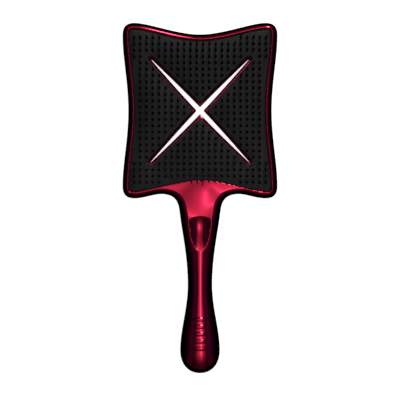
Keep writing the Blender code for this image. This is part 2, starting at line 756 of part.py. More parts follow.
def bristle_places():
    """(x, y, length) of each bristle: a square grid that keeps clear of the edge and the vent."""
    edge = opening_loop(-PAD_CLEARANCE)
    vent = vent_loop(SLEEVE_WALL + VENT_CLEARANCE)
    columns = int(HEAD_WIDTH / BRISTLE_PITCH / 2)
    rows = int(HEAD_LENGTH / BRISTLE_PITCH / 2) + 1
    places = []
    for row in range(-rows, rows):
        for column in range(-columns, columns):
            place = HEAD_MIDDLE + Vector((column + 0.5, row + 0.5)) * BRISTLE_PITCH
            if distance_to_loop(place, edge) > -BRISTLE_EDGE:
                continue
            if distance_to_loop(place, vent) < BRISTLE_ROOT:
                continue
            places.append((place.x, place.y, LONG_BRISTLE if (row + column) % 2 else SHORT_BRISTLE))
    return places


def bristles():
    """A hidden helper: every bristle as a square taper, rooted in the pad."""
    bm = bmesh.new()
    root = PAD_PLATEAU / 2
    for x, y, length in bristle_places():
        made = bmesh.ops.create_cone(
            bm,
            cap_ends=True,
            segments=4,
            radius1=BRISTLE_ROOT / 2,
            radius2=BRISTLE_TIP / 2,
            depth=length + root,
        )
        bmesh.ops.translate(bm, verts=made["verts"], vec=(x, y, PAD_FACE + (length - root) / 2))
    return finished("bristles", bm, None, hidden=True)


def bristle_pad(material):
    """The moulded pad: a flange under the lip, a plateau in the opening, and the bristles."""
    pad = prism("bristle_pad", opening_loop(PAD_FLANGE), PAD_BASE_Z, PAD_STEP_Z, material)
    middle = PAD_BASE_Z + PAD_FLANGE_THICKNESS / 2
    combine(pad, prism("pad_plateau", opening_loop(-PAD_CLEARANCE), middle, PAD_FACE, hidden=True), "UNION")
    vent = vent_loop(SLEEVE_WALL + VENT_CLEARANCE)
    combine(pad, prism("pad_vent", vent, REST_Z, PAD_FACE + MM, hidden=True), "DIFFERENCE")
    combine(pad, bristles(), "UNION")
    return pad


def screw(name, x, y, material):
    """A slotted countersunk-style screw whose head is flush with its lug."""
    bm = bmesh.new()
    shank_bottom = HEAD_PARTING - SCREW_BITE
    head_bottom = LUG_TOP - SCREW_HEAD_HEIGHT
    profile = [
        (0, LUG_TOP),
        (SCREW_HEAD / 2 - GAP, LUG_TOP),
        (SCREW_HEAD / 2, LUG_TOP - GAP),
        (SCREW_HEAD / 2, head_bottom),
        (SCREW_SHANK / 2, head_bottom),
        (SCREW_SHANK / 2, shank_bottom + SCREW_SHANK / 2),
        (0, shank_bottom),
    ]
    verts = [bm.verts.new((r, 0, z)) for r, z in profile]
    edges = [bm.edges.new(pair) for pair in zip(verts, verts[1:])]
    bmesh.ops.spin(
        bm,
        geom=verts + edges,
        cent=(0, 0, 0),
        axis=(0, 0, 1),
        angle=math.tau,
        steps=ROUND_STEPS,
        use_duplicate=False,
    )
    bmesh.ops.remove_doubles(bm, verts=bm.verts[:], dist=0.001 * MM)
    bmesh.ops.recalc_face_normals(bm, faces=bm.faces[:])
    made = finished(name, bm, material)
    made.location = (x, y, 0)
    half, depth = SCREW_HEAD, SCREW_HEAD_HEIGHT / 2
    slot = prism(
        f"{name}_slot",
        [Vector((sx * half, sy * SCREW_SLOT / 2)) for sx, sy in ((-1, -1), (1, -1), (1, 1), (-1, 1))],
        LUG_TOP - depth,
        LUG_TOP + MM,
        hidden=True,
    )
    slot.location = (x, y, 0)
    combine(made, slot, "DIFFERENCE")
    return made


def main():
    for obj in list(bpy.data.objects):
        bpy.data.objects.remove(obj)
    plated = plastic("plated_red", (0.36, 0.008, 0.05), 0.1, 1.0)
    nylon = plastic("black_nylon", (0.014, 0.014, 0.015), 0.5)
    foam = plastic("grey_foam", (0.09, 0.09, 0.1), 0.95)
    steel = plastic("zinc_steel", (0.6, 0.6, 0.62), 0.35, 1.0)
    front_shell(plated)
    back_shell(plated)
    vent_sleeve(plated)
    foam_cushion(foam)
    bristle_pad(nylon)
    for n, (x, y) in enumerate(screw_places(), 1):
        screw(f"shell_screw_{n}", x, y, steel)


main()
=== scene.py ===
import math

import bmesh
import bpy
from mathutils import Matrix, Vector


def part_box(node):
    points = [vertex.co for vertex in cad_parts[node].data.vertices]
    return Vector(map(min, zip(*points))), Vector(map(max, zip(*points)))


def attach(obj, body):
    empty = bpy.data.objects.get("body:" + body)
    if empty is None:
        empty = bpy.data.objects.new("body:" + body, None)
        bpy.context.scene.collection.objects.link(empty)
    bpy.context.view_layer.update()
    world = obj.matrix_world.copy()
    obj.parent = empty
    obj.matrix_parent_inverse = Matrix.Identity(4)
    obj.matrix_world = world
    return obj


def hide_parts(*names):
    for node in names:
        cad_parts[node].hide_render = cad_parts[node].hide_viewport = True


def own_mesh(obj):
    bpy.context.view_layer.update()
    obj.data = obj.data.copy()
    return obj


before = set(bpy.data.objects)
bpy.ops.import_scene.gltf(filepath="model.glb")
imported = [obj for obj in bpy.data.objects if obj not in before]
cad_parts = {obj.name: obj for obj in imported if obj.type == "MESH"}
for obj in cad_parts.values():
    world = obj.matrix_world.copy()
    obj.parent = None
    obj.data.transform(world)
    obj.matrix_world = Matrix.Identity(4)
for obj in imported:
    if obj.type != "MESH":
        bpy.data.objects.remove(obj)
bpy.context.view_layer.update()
mm = 0.001  # every size below is in millimetres, and meshes are written in metres


def nodeBox(name):
    low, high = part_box(name)
    return low / mm, high / mm


# The plan of the brush: one outline, and what follows it.

lowBack, highBack = nodeBox("back_shell")
lowFront, highFront = nodeBox("front_shell")
lowPad, _ = nodeBox("bristle_pad")
lowFoam, highFoam = nodeBox("foam_cushion")
lowSleeve, highSleeve = nodeBox("vent_sleeve")

plan = {
    "headLength": 123.2,  # lower corners to upper corners
    "sideDraw": 4.1,  # how far each side draws in at its middle
    "topDraw": 8.2,
    "corner": 8.2,
    "archRise": 3.1,  # lower edge, between corner and neck
    "archReach": 13.2,
    "neckWidth": 28.6,
    "neckDrop": 9.3,
    "gripWidth": 17.0,
    "endWidth": 27.6,
    "endRound": 15.5,
    "dimpleAbove": 5.0,
    "dimpleLength": 22.5,
    "openingAbove": 12.7,  # lower edge of the pad's opening, above the lower corners
}

halfWidth = highBack.x
endY, topY = lowBack.y, highBack.y
baseY = topY - plan["headLength"]
bulbY = endY + plan["endRound"]
neckY = baseY - plan["neckDrop"]
dimpleEdgeY = neckY - plan["dimpleAbove"]
dimpleTipY = dimpleEdgeY - plan["dimpleLength"]
gripY = bulbY + (dimpleTipY - bulbY) * 2 / 3
openingY = baseY + plan["openingAbove"]
headMiddle = Vector((0, baseY + plan["headLength"] / 2))


def heading(angle):
    return Vector((math.cos(math.radians(angle)), math.sin(math.radians(angle))))


def halfOutline():
    # x, y, heading, reach of the curve that arrives, reach of the one that leaves
    arch = plan["neckWidth"] / 2 + plan["archReach"]
    corner = plan["corner"]
    return [
        (0, endY, 0, 0, 0.4),
        (plan["endWidth"] / 2, bulbY, 90, 0.44, 0.34),
        (plan["gripWidth"] / 2, gripY, 90, 0.37, 0.39),
        (plan["neckWidth"] / 2, neckY, 84, 0.22, 0.475),
        (arch, baseY + plan["archRise"], 0, 0.485, 0.25),
        (halfWidth - corner, baseY, 0, 0.35, 0.47),
        (halfWidth, baseY + corner, 90, 0.47, 0.32),
        (halfWidth - plan["sideDraw"], headMiddle.y, 90, 0.38, 0.37),
        (halfWidth, topY - corner, 90, 0.31, 0.47),
        (halfWidth - corner, topY, 180, 0.47, 0.22),
        (0, topY - plan["topDraw"], 180, 0.34, 0),
    ]


outline = halfOutline()
end, bulb, grip, neck, arch, lowCorner, lowSide, waist, highSide, highCorner, top = range(11)


def curveAt(a, b, t):
    # point and inward normal on the cubic from anchor a to anchor b
    start, finish = Vector(a[:2]), Vector(b[:2])
    chord = (finish - start).length
    first = start + heading(a[2]) * a[4] * chord
    second = finish - heading(b[2]) * b[3] * chord
    s = 1 - t
    point = start * s**3 + first * 3 * s * s * t + second * 3 * s * t * t + finish * t**3
    slope = (first - start) * s * s + (second - first) * 2 * s * t + (finish - second) * t * t
    slope.normalize()
    return point, Vector((-slope.y, slope.x))


def outlineAt(i, t):
    return curveAt(outline[i], outline[i + 1], t)


def sideAt(y):
    # the handle's side at y, by halving
    i = bulb if y <= gripY else grip
    low, high = 0.0, 1.0
    for _ in range(40):
        middle = (low + high) / 2
        if outlineAt(i, middle)[0].y < y:
            low = middle
        else:
            high = middle
    return outlineAt(i, low)


def through(stations, y):
    # smooth value through (y, value) stations, level at both ends
    if y <= stations[0][0]:
        return stations[0][1]
    for i in range(len(stations) - 1):
        (y0, v0), (y1, v1) = stations[i : i + 2]
        if y > y1:
            continue
        before = stations[i - 1] if i else None
        after = stations[i + 2] if i + 2 < len(stations) else None
        slope0 = (v1 - before[1]) / (y1 - before[0]) if before else 0
        slope1 = (after[1] - v0) / (after[0] - y0) if after else 0
        t, span = (y - y0) / (y1 - y0), y1 - y0
        rise = v0 * (1 + 2 * t) * (1 - t) ** 2 + v1 * t * t * (3 - 2 * t)
        return rise + span * t * (1 - t) * (slope0 * (1 - t) - slope1 * t)
    return stations[-1][1]


def spread(count, last=False):
    return [i / count for i in range(count + (1 if last else 0))]


# Heights and cross-sections.

rise = {
    "bulbLift": 0.1,
    "gripLift": 3.0,
    "gripThickness": 15.6,
    "tipDrop": 1.2,
    "neckParting": 7.2,
    "lipDrop": 0.7,
    "lipThickness": 1.4,
    "lipUndercut": 1.6,  # how far the pocket under the lip reaches out
    "padStep": 10.6,  # top of the pad's flange, which the lip holds down
    "padFaceRise": 1.0,
    "rimWidth": 4.9,
    "crestInset": 4.0,
    "neckInset": 5.4,
    "wall": 2.0,
    "gap": 0.3,
    "landScale": 0.8,
    "bulbFullness": 2.0,
    "gripFullness": 1.9,
    "bulbCrest": 0.33,
    "gripCrest": 0.11,
    "rimCrest": 0.1,
    "dimpleWidth": 15.4,
    "dimpleDepth": 3.2,
    "dimpleLean": 1.6,  # above 1, the deepest place moves to the upper edge
    "dimpleSwell": 0.66,  # below 1, the dimple widens fast from its tip
    "dimpleBowl": 2.5,  # 2 is a round hollow, and more is flatter along its middle
    "dimpleBow": 2.2,
    "dimpleBowGrowth": 4,
    "ridgeWidth": 2.0,
    "browCrest": 3.2,  # crease beside the dimple's upper edge, above the rim
    "neckCrest": 1.3,
    "neckCrestDrop": 2.0,  # where it is reached, below the head's corners
    "browDish": 2.6,  # middle of the dish at its top end, above the rim
    "runIn": 8.0,  # last stretch of the dish, which dips to the pad
    "runInRise": 1.9,
    "ceilingEase": 4.0,  # before the opening, the inner ceiling has come down to the pocket
    "neckShare": 0.55,
    "neckStart": 0.06,  # share of the dish that the crease at the brow takes
    "openingBow": 3.0,  # degrees that the opening's lower edge turns up at its corners
    "openingReach": 0.3,
    "dishHollow": 0.45,  # 1 falls steeply from the crease, 0 leaves it level
    "dishReach": 30.0,  # from the middle to where the rim takes over
}

ribs = {
    "count": 5,
    "pitch": 5.0,
    "first": -104.0,
    "halfLength": 4.4,
    "halfWidth": 1.3,
    "height": 0.5,
    "roundness": 0.7,  # 0.5 is a round rib, 1 a parabola
    "rowStep": 0.5,
}

headParting = lowFront.z
padStepZ = rise["padStep"]
padFace = padStepZ + rise["padFaceRise"]
undercutZ = padStepZ + rise["gap"]
lipZ = undercutZ + rise["lipThickness"]
rimZ = lipZ + rise["lipDrop"]
bulbTop = highFront.z
browY = dimpleEdgeY + rise["dimpleBow"]


def partingAt(y):
    middle = rise["gripLift"] + rise["gripThickness"] / 2
    stations = [(bulbY, (rise["bulbLift"] + bulbTop) / 2), (gripY, middle)]
    return through(stations + [(neckY, rise["neckParting"]), (baseY, headParting)], y)


def topAt(y):
    gripTop = rise["gripLift"] + rise["gripThickness"]
    return through([(bulbY, bulbTop), (gripY, gripTop), (dimpleTipY, gripTop - rise["tipDrop"])], y)


def bottomAt(y):
    return through([(bulbY, rise["bulbLift"]), (gripY, rise["gripLift"]), (neckY, 0)], y)


def fullnessAt(y):
    lean = rise["gripFullness"]
    return through([(bulbY, rise["bulbFullness"]), (gripY, lean), (dimpleTipY, lean), (neckY, 2)], y)


def crestShareAt(y):
    ridge = rise["ridgeWidth"] / 2 / sideAt(dimpleTipY)[0].x
    return through([(bulbY, rise["bulbCrest"]), (gripY, rise["gripCrest"]), (dimpleTipY, ridge)], y)


def bulge(share, fullness):
    return max(0.0, 1 - share**fullness) ** (1 / fullness)


def crestAt(y):
    low = partingAt(dimpleTipY)
    tip = low + (topAt(dimpleTipY) - low) * bulge(crestShareAt(dimpleTipY), rise["gripFullness"])
    stations = [(dimpleTipY, tip), (dimpleEdgeY, rimZ + rise["browCrest"])]
    stations.append((baseY - rise["neckCrestDrop"], rimZ + rise["neckCrest"]))
    return through(stations + [(baseY + plan["corner"], rimZ)], y)


def dishAt(y):
    stations = [(dimpleTipY, topAt(dimpleTipY)), (browY, rimZ + rise["browDish"])]
    stations += [(openingY - rise["runIn"], lipZ + rise["runInRise"]), (openingY, lipZ)]
    base = through(stations + [(openingY + rise["runIn"], lipZ - rise["runInRise"])], y)
    share = (y - dimpleTipY) / (browY - dimpleTipY)
    if 0 < share < 1:
        base -= rise["dimpleDepth"] * math.sin(math.pi * share ** rise["dimpleLean"])
    return base


def dimpleHalf(share):
    ridge = rise["ridgeWidth"] / 2
    swell = math.sin(math.pi / 2 * share ** rise["dimpleSwell"])
    return ridge + (rise["dimpleWidth"] / 2 - ridge) * swell


def neckInset(share):
    return through([(0, rise["neckInset"]), (1, rise["crestInset"])], share)


# A section is (kind, outline point, inward normal, crest, edge). Sections run up the right side,
# and each crosses from the outline over the crest to the middle line or to the pad's opening.
# The counts are how many sections each stretch gets.
counts = {"end": 12, "grip": 7, "shaft": 10, "dimple": 20, "neck": 10, "shoulder": 6, "arch": 12}
rimCounts = {lowCorner: 8, lowSide: 12, waist: 12, highSide: 8, highCorner: 14}


def handleSections():
    found = []
    middle = Vector((0, bulbY))
    for t in spread(counts["end"]):
        point, inward = outlineAt(end, t)
        found.append(("handle", point, inward, middle + (point - middle) * rise["bulbCrest"], middle))
    ribbed = ribs["first"] + ribs["pitch"] * ribs["count"]  # where the fine rows end
    fineRows = round((ribbed - bulbY) / ribs["rowStep"])
    levels = [bulbY + (ribbed - bulbY) * t for t in spread(fineRows)]
    levels += [ribbed + (gripY - ribbed) * t for t in spread(counts["grip"])]
    levels += [gripY + (dimpleTipY - gripY) * t for t in spread(counts["shaft"])]
    for y in levels:
        point, inward = sideAt(y)
        found.append(("handle", point, inward, Vector((point.x * crestShareAt(y), y)), Vector((0, y))))
    for t in spread(counts["dimple"], last=True):
        share = 0.5 - 0.5 * math.cos(math.pi * t)  # close together at both ends of the dimple
        y = dimpleTipY + plan["dimpleLength"] * share
        point, inward = sideAt(y)
        edge = Vector((0, y + rise["dimpleBow"] * share ** rise["dimpleBowGrowth"]))
        found.append(("dimple", point, inward, Vector((dimpleHalf(share), y)), edge))
    return found


def headSections():
    found = []
    share, start = rise["neckShare"], rise["neckStart"]
    for t in spread(counts["neck"], last=True):
        point, inward = outlineAt(neck, share * t)
        edge = Vector((0, browY + (openingY - browY) * (start + (1 - start) * t)))
        found.append(("neck", point, inward, point + inward * neckInset(share * t), edge))
    corner, cornerInward = outlineAt(lowCorner, 0)
    corner = corner + cornerInward * rise["rimWidth"]
    reach = rise["openingReach"]
    fromMiddle, toCorner = (0, openingY, 0, 0, reach), (corner.x, corner.y, -rise["openingBow"], reach, 0)
    stops = [(neck, share + (1 - share) * t) for t in spread(counts["shoulder"])]
    stops += [(arch, t) for t in spread(counts["arch"])]
    for i, (first, t) in enumerate(stops[1:], 1):
        point, inward = outlineAt(first, t)
        inset = neckInset(t) if first == neck else rise["crestInset"]
        edge, _ = curveAt(fromMiddle, toCorner, i / len(stops))
        found.append(("dish", point, inward, point + inward * inset, edge))
    for first in range(lowCorner, top):
        for t in spread(rimCounts[first], last=first + 1 == top):
            point, inward = outlineAt(first, t)
            crest, edge = point + inward * rise["crestInset"], point + inward * rise["rimWidth"]
            found.append(("rim", point, inward, crest, edge))
    return found


def ribAt(x, y):
    # height of the raised cross ribs near the handle's end
    nearest = min(max(round((y - ribs["first"]) / ribs["pitch"]), 0), ribs["count"] - 1)
    across = (y - ribs["first"] - nearest * ribs["pitch"]) / ribs["halfWidth"]
    off = max(0.0, abs(x) - ribs["halfLength"] + ribs["halfWidth"]) / ribs["halfWidth"]
    return ribs["height"] * max(0.0, 1 - across**2 - off**2) ** ribs["roundness"]


sections = handleSections() + headSections()
firstRing = max(i for i, s in enumerate(sections) if s[0] == "neck")
turns = [0, 3, 9, 18, 28, 38, 48, 58, 67, 75, 82, 87, 90]  # degrees, from the outline to the crest
strides = [0.05, 0.14, 0.28, 0.43, 0.58, 0.72, 0.86, 0.95, 1]  # shares, from the crest to the edge
backStrides = [0.25, 0.5, 0.75, 1]
ceilingTurns = [90, 68, 45, 22, 0]


def edgeInward(section):
    return Vector((0, 1)) if section[0] in ("neck", "dish") else section[2]


def outerPoints(section):
    kind, side, _, crest, edge = section
    low, fullness = partingAt(side.y), fullnessAt(crest.y)
    high = topAt(edge.y)
    share = crestShareAt(crest.y) if kind == "handle" else rise["rimCrest"]
    crestZ = low + (high - low) * bulge(share, fullness) if kind == "handle" else crestAt(crest.y)
    points = []
    for turn in turns:
        reach = (1 - share) * (1 - math.cos(math.radians(turn)))
        flat = side.lerp(crest, reach / (1 - share))
        z = low + (crestZ - low) * bulge(1 - reach, fullness) / bulge(share, fullness)
        points.append((flat.x, flat.y, z))
    edgeZ = dishAt(edge.y) if kind in ("dimple", "neck") else lipZ
    away = max(0.0, 1 - edge.x / rise["dishReach"])  # 1 where a section ends on the middle line
    for u in strides:
        flat, ease = crest.lerp(edge, u), 1 - (1 - u) ** 2
        if kind == "handle":
            z = low + (high - low) * bulge(share * (1 - u), fullness)
        elif kind == "rim":
            z = crestZ + (edgeZ - crestZ) * u * u
        else:
            # it arrives level and square to the middle line, so the two halves meet smoothly
            hollow = 1 if kind == "dimple" else rise["dishHollow"] * away
            bowl = 1 - (1 - u) ** rise["dimpleBowl"] if kind == "dimple" else ease
            late = away * u * u * (3 - 2 * u) + (1 - away) * u * u
            z = crestZ + (edgeZ - crestZ) * (hollow * bowl + (1 - hollow) * late)
            flat.y = crest.y + (edge.y - crest.y) * (away * ease + (1 - away) * u)
        points.append((flat.x, flat.y, z))
    return [(x, y, z + ribAt(x, y)) for x, y, z in points] if kind == "handle" else points


def innerPoints(section):
    kind, side, inward, _, edge = section
    low = partingAt(side.y)
    if kind in ("dish", "rim"):
        back = edge - edgeInward(section) * rise["lipUndercut"]
        levels = [undercutZ + (low - undercutZ) * t for t in (0, 0.25, 0.6, 1)]
        return [(edge.x, edge.y, undercutZ)] + [(back.x, back.y, z) for z in levels]
    wall = rise["wall"]
    start = side + inward * wall
    ceiling = (topAt(edge.y) if kind == "handle" else dishAt(edge.y)) - wall
    lowered = through([(dimpleEdgeY, 0), (openingY - rise["ceilingEase"], 1)], edge.y)
    ceiling += lowered * (undercutZ - ceiling)
    points = []
    for angle in ceilingTurns:
        flat = start.lerp(edge, 1 - math.cos(math.radians(angle)))
        points.append((flat.x, flat.y, low + (ceiling - low) * math.sin(math.radians(angle))))
    return points


def backPoints(section, wall):
    _, side, inward, crest, _ = section
    y = side.y
    high, base = partingAt(y) - rise["gap"], bottomAt(y) + wall
    start = side + inward * wall
    ridge = crest if section[0] == "handle" else Vector((rise["ridgeWidth"] / 2, y))
    flatness = through([(gripY, 0), (neckY, 1)], y)
    foot = ridge.lerp(headMiddle + (side - headMiddle) * rise["landScale"], flatness)
    share = (1 - flatness) * crestShareAt(y)
    points = []
    for turn in turns:
        reach = (1 - share) * (1 - math.cos(math.radians(turn)))
        flat = start.lerp(foot, reach / (1 - share))
        points.append((flat.x, flat.y, high - (high - base) * bulge(1 - reach, 2)))
    if y < neckY + rise["gap"]:
        for u in backStrides:
            flat = foot.lerp(Vector((0, max(y, bulbY))), u)
            points.append((flat.x, flat.y, high - (high - base) * bulge(share * (1 - u), 2)))
    return points


# Mesh tools.


class Sheet:
    # a mesh in the making: one vertex to each place, faces between neighbouring rows

    def __init__(self, mesh=None):
        self.bm = bmesh.new()
        self.made = {}
        if mesh:
            self.bm.from_mesh(mesh)

    def point(self, place):
        key = tuple(round(c * 1000) for c in place)
        if key not in self.made:
            self.made[key] = self.bm.verts.new(Vector(place) * mm)
        return self.made[key]

    def row(self, places):
        return [self.point(p) for p in places]

    def skin(self, rows):
        for first, second in zip(rows, rows[1:]):
            for i in range(len(first) - 1):
                around = list(dict.fromkeys((first[i], first[i + 1], second[i + 1], second[i])))
                if len(around) > 2:
                    self.bm.faces.new(around)

    def mirror(self):
        around = self.bm.verts[:] + self.bm.edges[:] + self.bm.faces[:]
        bmesh.ops.mirror(self.bm, geom=around, axis="X", merge_dist=0.01 * mm)

    def fill(self, *loops, rim=()):
        # one flat face with holes, from closed loops of vertices and from open edges
        edges = list(rim)
        for loop in loops:
            for pair in zip(loop, loop[1:] + loop[:1]):
                edges.append(self.bm.edges.get(pair) or self.bm.edges.new(pair))
        bmesh.ops.triangle_fill(self.bm, use_beauty=True, edges=edges)

    def finish(self, name, material, sharp=30):
        bmesh.ops.recalc_face_normals(self.bm, faces=self.bm.faces[:])
        mesh = bpy.data.meshes.new(name)
        self.bm.to_mesh(mesh)
        self.bm.free()
        mesh.shade_smooth()
        if sharp:
            mesh.set_sharp_from_angle(angle=math.radians(sharp))
        mesh.materials.append(material)
        piece = bpy.data.objects.new(name, mesh)
        bpy.context.scene.collection.objects.link(piece)
        return piece


def prism(name, loop, low, high):
    # a closed cutter on a plan outline
    sheet = Sheet()
    walls = [[(p.x, p.y, z) for p in loop + loop[:1]] for z in (low, high)]
    rows = [sheet.row(w) for w in walls]
    sheet.skin(rows)
    for row in rows:
        sheet.bm.faces.new(row[:-1])
    return sheet.finish(name, foamStuff, sharp=0)


def cutAway(piece, other):
    step = piece.modifiers.new(other.name, "BOOLEAN")
    step.operation = "DIFFERENCE"
    step.object = other
    step.solver = "EXACT"


def settle(piece, *helpers):
    # writes the modifiers into the mesh and clears the helpers away
    graph = bpy.context.evaluated_depsgraph_get()
    mesh = bpy.data.meshes.new_from_object(piece.evaluated_get(graph))
    piece.modifiers.clear()
    piece.data = mesh
    for helper in helpers:
        bpy.data.objects.remove(helper)


def soften(piece):
    step = piece.modifiers.new("soft", "SUBSURF")
    step.levels = step.render_levels = 1


# Loops in the plan.

vent = {
    "side": 19.9,  # from the head's side to an arm's tip
    "end": 25.4,  # from the corners' level to an arm's tip
    "half": 2.0,
    "tipHalf": 0.45,
    "taper": 1.6,  # above 1, an arm keeps its width at first
    "crossing": 0.2,  # share of an arm that lies in the crossing
    "tipTurn": 15,
    "wall": 0.9,
    "flange": 1.8,
    "flangeThickness": 1.2,
    "clearance": 0.5,
    "nose": 0.1,  # rounding of the sleeve's top edges
    "flare": 0.5,  # how far the sleeve's top slopes down into the slot
}


def wholeLoop(half):
    return half + [Vector((-p.x, p.y)) for p in reversed(half[1:-1])]


def openingLoop(outset):
    ring = sections[firstRing:]
    half = [s[4] - edgeInward(s) * outset for s in ring]
    half[0].x = half[-1].x = 0
    return wholeLoop(half)


def ventLoop(offset):
    tip = Vector((halfWidth - vent["side"], plan["headLength"] / 2 - vent["end"]))
    reach = tip.length - vent["tipHalf"]
    slant = math.atan2(tip.y, tip.x)
    arms = [slant, math.pi - slant, math.pi + slant, math.tau - slant]
    start = vent["crossing"]
    stations = [reach * (start + (1 - start) * t) for t in spread(10, last=True)]

    def halfAt(r):
        narrowed = (vent["half"] - vent["tipHalf"]) * (r / reach) ** vent["taper"]
        return vent["half"] - narrowed + offset

    loop = []
    for i, angle in enumerate(arms):
        way = Vector((math.cos(angle), math.sin(angle)))
        side = Vector((-way.y, way.x))
        loop += [headMiddle + way * r - side * halfAt(r) for r in stations]
        for turn in range(vent["tipTurn"] - 90, 90, vent["tipTurn"]):
            around = way * math.cos(math.radians(turn)) + side * math.sin(math.radians(turn))
            loop.append(headMiddle + way * reach + around * halfAt(reach))
        loop += [headMiddle + way * r + side * halfAt(r) for r in reversed(stations)]
        between = (arms[(i + 1) % 4] - angle) % math.tau / 2
        crotch = (vent["half"] + offset) / math.sin(between)
        outward = Vector((math.cos(angle + between), math.sin(angle + between)))
        loop.append(headMiddle + outward * crotch)
    return loop


def ringRows(sheet, loopAt, profile):
    # sweeps a closed or open profile of (offset, height) round a family of loops
    rows = []
    for offset, z in profile:
        loop = loopAt(offset)
        rows.append(sheet.row([(p.x, p.y, z) for p in loop + loop[:1]]))
    sheet.skin(rows)
    return [row[:-1] for row in rows]


# Materials.


def colour(code):
    # sRGB hex to linear
    parts = [int(code[i : i + 2], 16) / 255 for i in (1, 3, 5)]
    return [p / 12.92 if p <= 0.04045 else ((p + 0.055) / 1.055) ** 2.4 for p in parts] + [1]


def addNode(tree, kind, settings=None, links=None, stops=()):
    # settings are properties or input values, links are input name to output socket,
    # and stops are a colour ramp's places and colours
    node = tree.nodes.new(kind)
    for i, (place, tint) in enumerate(stops):
        node.color_ramp.elements[i].position = place
        node.color_ramp.elements[i].color = colour(tint)
    for key, value in (settings or {}).items():
        if isinstance(key, str) and hasattr(node, key):
            setattr(node, key, value)
        else:
            node.inputs[key].default_value = value
    for key, socket in (links or {}).items():
        tree.links.new(socket, node.inputs[key])
    return node


def newMaterial(name):
    material = bpy.data.materials.new(name)
    material.use_nodes = True
    tree = material.node_tree
    return material, tree, tree.nodes["Principled BSDF"]


def metallisedAbs():
    # ABS, metallised in vacuum under clear crimson lacquer: a deep red mirror with a wet top coat
    material, tree, shader = newMaterial("metallisedAbs")
    place = {"Vector": addNode(tree, "ShaderNodeTexCoord").outputs["Object"]}
    # the lacquer runs slightly thicker and thinner over 25 mm
    cloud = addNode(tree, "ShaderNodeTexNoise", {"Scale": 1 / (25 * mm), "Detail": 3.0}, place)
    stops = ((0.35, "#cc1a40"), (0.65, "#d81e4a"))
    tint = addNode(tree, "ShaderNodeValToRGB", links={"Fac": cloud.outputs["Fac"]}, stops=stops)
    # handling haze in patches of 3.3 mm
    haze = addNode(tree, "ShaderNodeTexNoise", {"Scale": 1 / (3.3 * mm), "Detail": 4.0}, place)
    spans = {"From Min": 0.3, "From Max": 0.7, "To Min": 0.05, "To Max": 0.1}
    rough = addNode(tree, "ShaderNodeMapRange", spans, {"Value": haze.outputs["Fac"]})
    # orange peel, 1.4 mm
    peel = addNode(tree, "ShaderNodeTexNoise", {"Scale": 1 / (1.4 * mm), "Detail": 1.0}, place)
    swells = {"Strength": 0.04, "Distance": 0.05 * mm}
    bump = addNode(tree, "ShaderNodeBump", swells, {"Height": peel.outputs["Fac"]})
    tree.links.new(tint.outputs["Color"], shader.inputs["Base Color"])
    tree.links.new(rough.outputs["Result"], shader.inputs["Roughness"])
    tree.links.new(bump.outputs["Normal"], shader.inputs["Normal"])
    shader.inputs["Metallic"].default_value = 1.0
    shader.inputs["Coat Weight"].default_value = 0.25
    shader.inputs["Coat Roughness"].default_value = 0.03
    return material


def mouldedNylon(name, dark, light):
    # nylon moulded in a spark-eroded tool: black, with a fine even grain that spreads the light
    material, tree, shader = newMaterial(name)
    place = {"Vector": addNode(tree, "ShaderNodeTexCoord").outputs["Object"]}
    # flow marks, 8 mm
    cloud = addNode(tree, "ShaderNodeTexNoise", {"Scale": 1 / (8 * mm), "Detail": 3.0}, place)
    stops = ((0.35, dark), (0.65, light))
    tint = addNode(tree, "ShaderNodeValToRGB", links={"Fac": cloud.outputs["Fac"]}, stops=stops)
    # the eroded grain, drawn at 0.4 mm, coarser than the real 0.1 mm, so that it shows
    grain = addNode(tree, "ShaderNodeTexNoise", {"Scale": 1 / (0.4 * mm), "Detail": 2.0}, place)
    spans = {"From Min": 0.3, "From Max": 0.7, "To Min": 0.42, "To Max": 0.55}
    rough = addNode(tree, "ShaderNodeMapRange", spans, {"Value": grain.outputs["Fac"]})
    pits = {"Strength": 0.25, "Distance": 0.04 * mm}
    bump = addNode(tree, "ShaderNodeBump", pits, {"Height": grain.outputs["Fac"]})
    tree.links.new(tint.outputs["Color"], shader.inputs["Base Color"])
    tree.links.new(rough.outputs["Result"], shader.inputs["Roughness"])
    tree.links.new(bump.outputs["Normal"], shader.inputs["Normal"])
    shader.inputs["IOR"].default_value = 1.53
    shader.inputs["Specular IOR Level"].default_value = 0.3
    return material


def closedCellFoam():
    # polyethylene foam, closed cells about 0.5 mm wide: dull and finely pitted
    material, tree, shader = newMaterial("closedCellFoam")
    place = {"Vector": addNode(tree, "ShaderNodeTexCoord").outputs["Object"]}
    cells = addNode(tree, "ShaderNodeTexVoronoi", {"Scale": 1 / (0.5 * mm)}, place)
    # the tint follows the same cell field as the bump, so each cell's sunken middle is painted darker:
    # painted shade in the pits
    stops = ((0.1, "#3a3a3d"), (0.7, "#55555a"))
    tint = addNode(tree, "ShaderNodeValToRGB", links={"Fac": cells.outputs["Distance"]}, stops=stops)
    pits = {"Strength": 0.6, "Distance": 0.1 * mm}
    bump = addNode(tree, "ShaderNodeBump", pits, {"Height": cells.outputs["Distance"]})
    tree.links.new(tint.outputs["Color"], shader.inputs["Base Color"])
    tree.links.new(bump.outputs["Normal"], shader.inputs["Normal"])
    shader.inputs["Roughness"].default_value = 0.95
    return material


